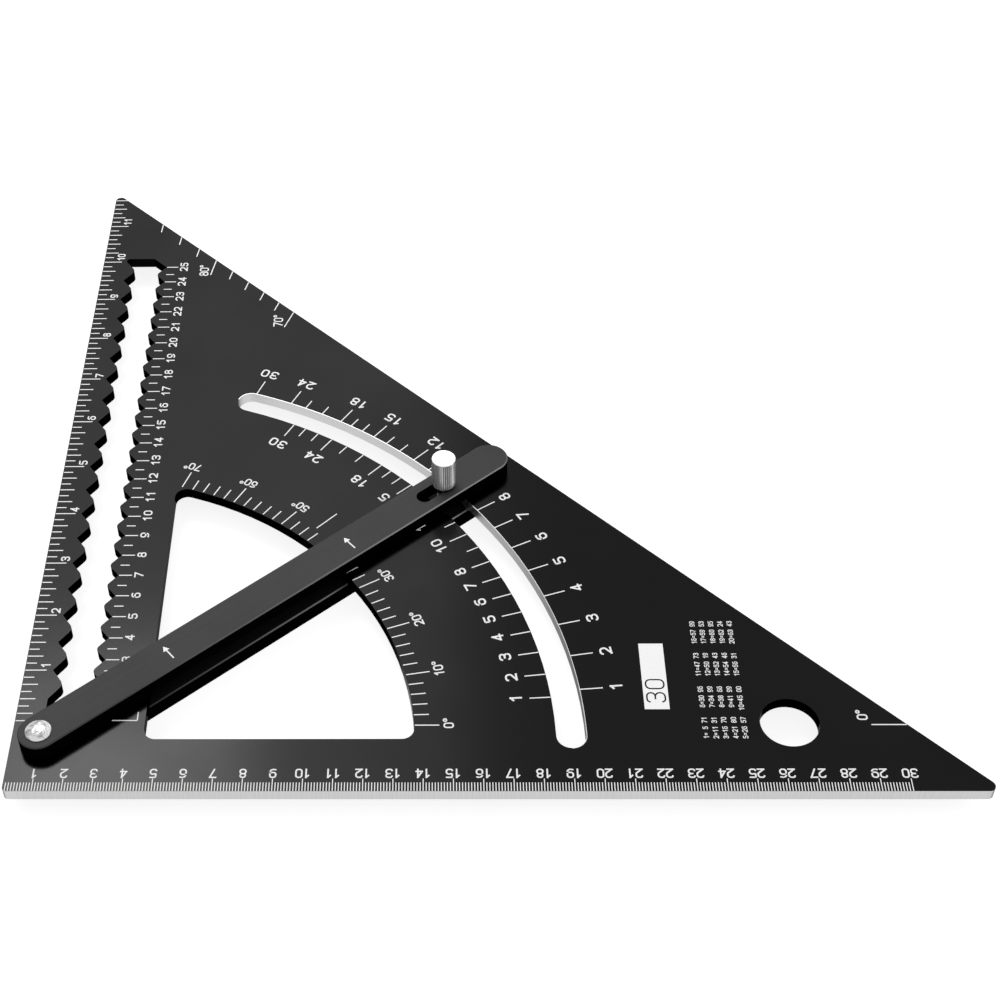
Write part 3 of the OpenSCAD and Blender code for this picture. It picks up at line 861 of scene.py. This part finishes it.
class SQUARE_OT_print_degree_scales(bpy.types.Operator):
    """Print the degree scales at the window and along the sloping edge"""
    bl_idname = "square.print_degree_scales"
    bl_label = "Print the degree scales"

    def execute(self, context):
        start_r, short_r, long_r = 126.9, 132.0, 135.2
        middle_start_r, middle_end_r = 133.6, 144.0
        edge_short, edge_long, edge_base = 5.3, 10.0, 11.8
        label_r, label_h, label_side = 138.2, 3.6, 6.9
        # Figures near the sloping edge, each with its centre and its height
        edge_labels = (("80°", 44.5, 272.75, 4.0), ("70°", 78.6, 238.65, 4.0), ("0°", 288.15, 30.3, 3.7))
        lines = []
        for angle in range(0, 71, 2):
            lines.append(fan_line(angle, start_r, long_r if angle % 10 == 0 else short_r))
        lines.append(fan_line(45, middle_start_r, middle_end_r))
        for angle in range(70, 87, 2):
            lines.append(sloping_edge_line(angle, edge_long if angle % 10 == 0 else edge_short))
        lines.append(sloping_edge_line(0, edge_base))
        print_fan(context, "degree_lines", lines)
        labels = [fan_label(f"{a}°", a, label_r, label_h, label_side) for a in range(0, 71, 10)]
        labels += [(text, x, y, 90, height) for text, x, y, height in edge_labels]
        sizes = context.scene.square_print
        print_figures(context, "degree_figures", labels, sizes.figure_line, sizes.figure_width, CLOSE_GAP)
        return {"FINISHED"}


def slope_angle(rise, run):
    """Angle of a roof slope, in degrees."""
    return math.degrees(math.atan2(rise, run))


class SQUARE_OT_print_slope_scales(bpy.types.Operator):
    """Print the two roof slope scales along the arc slot"""
    bl_idname = "square.print_slope_scales"
    bl_label = "Print the slope scales"

    def execute(self, context):
        numbered = (1, 2, 3, 4, 5, 6, 7, 8, 10, 12, 15, 18, 24, 30)
        run = 12.0
        hip_run = run * math.sqrt(2)
        hip_side = 8.7
        label_r, label_h, label_side = 197.2, 4.4, 7.1
        hip_label_r, hip_label_h = 162.1, 4.3
        long_reach, hip_long_reach, short_reach = 7.9, 7.2, 4.7
        from_slot = 0.2
        slot_out, slot_in = ARC_R + ARC_HALF + from_slot, ARC_R - ARC_HALF - from_slot
        lines, labels = [], []
        for rise in (*range(1, 19), 20, 22, 24, 30):
            reach = long_reach if rise in numbered else short_reach
            lines.append(fan_line(slope_angle(rise, run), slot_out, slot_out + reach))
        for rise in (*range(1, 19), *range(20, 31, 2)):
            reach = hip_long_reach if rise in numbered else short_reach
            lines.append(fan_line(slope_angle(rise, hip_run), slot_in - reach, slot_in, hip_side))
        for rise in numbered:
            labels.append(fan_label(str(rise), slope_angle(rise, run), label_r, label_h, label_side))
            labels.append(fan_label(
                str(rise), slope_angle(rise, hip_run), hip_label_r, hip_label_h, hip_side))
        print_fan(context, "slope_lines", lines)
        sizes = context.scene.square_print
        print_figures(context, "slope_figures", labels, sizes.bold_figure_line,
            sizes.bold_figure_width, WIDE_GAP)
        return {"FINISHED"}


class SQUARE_OT_print_table(bpy.types.Operator):
    """Print the table of slopes in degrees, and the panel with the length of the scale"""
    bl_idname = "square.print_table"
    bl_label = "Print the table"

    def execute(self, context):
        sizes = context.scene.square_print
        first_line_x, line_gap, figure_h = 235.0, 3.28, 1.85
        width_share, gap = 0.61, 0.1
        group_starts, group_lines, run = (20.1, 33.3, 48.2, 62.7), 5, 10.0
        labels = []
        for group, start_y in enumerate(group_starts):
            for line in range(group_lines):
                rise = group * group_lines + line + 1
                whole, part = f"{slope_angle(rise, run):.2f}".split(".")
                labels.append((f"{rise:>2}={whole:>2} {part}", first_line_x + line * line_gap, start_y, 90,
                    figure_h))
        print_figures(context, "slope_table", labels, sizes.small_line, width_share, gap,
            centred=False)
        low, high = (215.35, 33.8), (223.85, 62.8)
        number_up, number_h = 8.0, 6.8
        build = bmesh.new()
        bmesh.ops.create_cube(build, size=1.0)
        size = Vector((high[0] - low[0], high[1] - low[1], 0.0)) * MM
        middle = on_plate((low[0] + high[0]) / 2, (low[1] + high[1]) / 2, sizes.ink / MM / 2)
        bmesh.ops.transform(build, verts=build.verts,
            matrix=Matrix.Translation(middle) @ Matrix.Diagonal((size.x, size.y, sizes.ink, 1.0)))
        finish_print(build, "length_panel", "plate", shared_mark(context))
        print_figures(context, "length_figures",
            [("30", (low[0] + high[0]) / 2, low[1] + number_up, 90, number_h)], sizes.figure_line,
            sizes.figure_width, WIDE_GAP, frame["nodes"]["plate"].material_slots[0].material,
            up=sizes.ink / MM)
        return {"FINISHED"}


class SQUARE_OT_print_arrows(bpy.types.Operator):
    """Print the two arrows that point at the fence's reading edge"""
    bl_idname = "square.print_arrows"
    bl_label = "Print the arrows"

    def execute(self, context):
        sizes = context.scene.square_print
        length, shaft, head_w, head_l = 6.6, 0.5, 2.5, 2.2
        tails = ((53.2, -3.35), (133.7, -3.65))
        outline = [(0, -shaft / 2), (length - head_l, -shaft / 2), (length - head_l, -head_w / 2),
            (length, 0), (length - head_l, head_w / 2), (length - head_l, shaft / 2), (0, shaft / 2)]
        build = bmesh.new()
        for along, side in tails:
            tail = beside_pivot(math.degrees(FENCE_TURN), along, side)
            place = Matrix.Translation(on_plate(*tail, BAR_TOP)) @ Matrix.Rotation(
                FENCE_TURN + math.pi / 2, 4, "Z")
            low = [build.verts.new(place @ Vector((x * MM, y * MM, 0.0))) for x, y in outline]
            face = build.faces.new(low)
            raised = bmesh.ops.extrude_face_region(build, geom=[face])["geom"]
            bmesh.ops.translate(build, vec=(0.0, 0.0, sizes.ink),
                verts=[item for item in raised if isinstance(item, bmesh.types.BMVert)])
        bmesh.ops.recalc_face_normals(build, faces=build.faces)
        finish_print(build, "fence_arrows", "fence", shared_mark(context))
        return {"FINISHED"}


def add_lamp(name, place, aim, size, power):
    """Rectangular area lamp at a place, facing a point."""
    data = bpy.data.lights.new(name, "AREA")
    data.shape = "RECTANGLE"
    data.size, data.size_y = size
    data.energy = power
    lamp = bpy.data.objects.new(name, data)
    lamp.location = place
    lamp.rotation_euler = (Vector(aim) - Vector(place)).to_track_quat("-Z", "Y").to_euler()
    bpy.context.scene.collection.objects.link(lamp)


def seen_share(tree):
    """One for the camera's, the mirrored and the transmitted rays, and zero for the others."""
    path = add_node(tree, "ShaderNodeLightPath").outputs
    share = path["Is Camera Ray"]
    for kind in ("Is Glossy Ray", "Is Transmission Ray"):
        share = add_node(tree, "ShaderNodeMath", {
            0: share, 1: path[kind]}, operation="MAXIMUM").outputs[0]
    return share


# Each lamp's place, the point it faces and its size, in metres, and the setting with its power
LAMPS = (
    ("softbox", (-0.36, 0.51, 0.98), (-0.36, 0.5, 0.0), (0.28, 0.34), "key_power"),
    ("back_panel", (-0.40, 1.10, 0.98), (-0.40, 1.09, 0.0), (0.80, 1.40), "back_power"),
    ("fill_panel", (1.15, -0.5, 0.8), (0.0, 0.0, 0.0), (0.7, 0.7), "fill_power"),
)
# The camera's place in the plate's millimetres and its turn in degrees
CAMERA_PLACE = (146.122, -358.649, 504.796)
CAMERA_TURN = (44.315, 1.658, 1.175)
# Width of the camera's sensor in millimetres, and in metres its near limit and half the floor's side
SENSOR = 36.0
NEAR_CLIP = 0.01
FLOOR_HALF = 3.0


class SQUARE_OT_set_stage(bpy.types.Operator):
    """Set up the floor, the lamps, the room light and the camera"""
    bl_idname = "square.set_stage"
    bl_label = "Set the stage"

    def execute(self, context):
        stage = context.scene.square_stage
        self.make_floor(stage)
        self.make_room(context, stage)
        for name, place, aim, size, power in LAMPS:
            add_lamp(name, place, aim, size, getattr(stage, power))
        data = bpy.data.cameras.new("camera")
        data.sensor_width = SENSOR
        data.lens = stage.lens
        data.shift_x = stage.shift
        data.clip_start = NEAR_CLIP
        camera = bpy.data.objects.new("camera", data)
        camera.location = on_plate(*CAMERA_PLACE)
        camera.rotation_euler = Euler([math.radians(a) for a in CAMERA_TURN])
        context.scene.collection.objects.link(camera)
        context.scene.camera = camera
        context.scene.view_settings.view_transform = "Standard"
        return {"FINISHED"}

    def make_floor(self, stage):
        """Matt grey floor, lifted towards white for the rays that see it."""
        corners = [(x * FLOOR_HALF, y * FLOOR_HALF, 0) for x, y in ((-1, -1), (1, -1), (1, 1), (-1, 1))]
        mesh = bpy.data.meshes.new("floor")
        mesh.from_pydata(corners, [], [(0, 1, 2, 3)])
        material = blank_material("matt_studio_paper")
        tree = material.node_tree
        paper = add_node(tree, "ShaderNodeBsdfDiffuse", {"Color": stage.floor}).outputs[0]
        strength = add_node(tree, "ShaderNodeMath", {
            0: seen_share(tree), 1: stage.lift}, operation="MULTIPLY").outputs[0]
        lift = add_node(tree, "ShaderNodeEmission", {"Color": WHITE, "Strength": strength}).outputs[0]
        both = add_node(tree, "ShaderNodeAddShader", {0: paper, 1: lift}).outputs[0]
        add_node(tree, "ShaderNodeOutputMaterial", {"Surface": both})
        mesh.materials.append(material)
        floor = bpy.data.objects.new("floor", mesh)
        bpy.context.scene.collection.objects.link(floor)

    def make_room(self, context, stage):
        """Even light from all round, which shows as white behind the object and in its metal."""
        world = bpy.data.worlds.new("room")
        world.use_nodes = True
        tree = world.node_tree
        tree.nodes.clear()
        strength = add_node(tree, "ShaderNodeMix", {
            "Factor": seen_share(tree), "A": stage.room_level, "B": 1.0}).outputs["Result"]
        light = add_node(tree, "ShaderNodeBackground", {
            "Color": WHITE, "Strength": strength}).outputs[0]
        add_node(tree, "ShaderNodeOutputWorld", {"Surface": light})
        context.scene.world = world


PIECE_OPERATORS = (
    SQUARE_OT_finish_metal,
    SQUARE_OT_print_base_scale,
    SQUARE_OT_print_inch_scale,
    SQUARE_OT_print_notch_scale,
    SQUARE_OT_print_degree_scales,
    SQUARE_OT_print_slope_scales,
    SQUARE_OT_print_table,
    SQUARE_OT_print_arrows,
    SQUARE_OT_set_stage,
)


class SQUARE_PT_panel(bpy.types.Panel):
    """Sidebar panel with the sizes, the colours and the steps"""
    bl_idname = "SQUARE_PT_panel"
    bl_label = "Set square"
    bl_space_type = "VIEW_3D"
    bl_region_type = "UI"
    bl_category = "Set square"

    def draw(self, context):
        scene = context.scene
        for group in (scene.square_print, scene.square_colours, scene.square_stage):
            box = self.layout.box()
            for name in group.__annotations__:
                box.prop(group, name)
        for operator in PIECE_OPERATORS:
            self.layout.operator(operator.bl_idname)


CLASSES = (PrintSizes, FinishColours, StageSettings, *PIECE_OPERATORS, SQUARE_PT_panel)


def register():
    for item in CLASSES:
        bpy.utils.register_class(item)
    bpy.types.Scene.square_print = PointerProperty(type=PrintSizes)
    bpy.types.Scene.square_colours = PointerProperty(type=FinishColours)
    bpy.types.Scene.square_stage = PointerProperty(type=StageSettings)


def unregister():
    del bpy.types.Scene.square_stage
    del bpy.types.Scene.square_colours
    del bpy.types.Scene.square_print
    for item in reversed(CLASSES):
        bpy.utils.unregister_class(item)


def main():
    """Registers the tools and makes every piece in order."""
    register()
    for operator in PIECE_OPERATORS:
        group, name = operator.bl_idname.split(".")
        getattr(getattr(bpy.ops, group), name)()


if __name__ == "__main__":
    main()
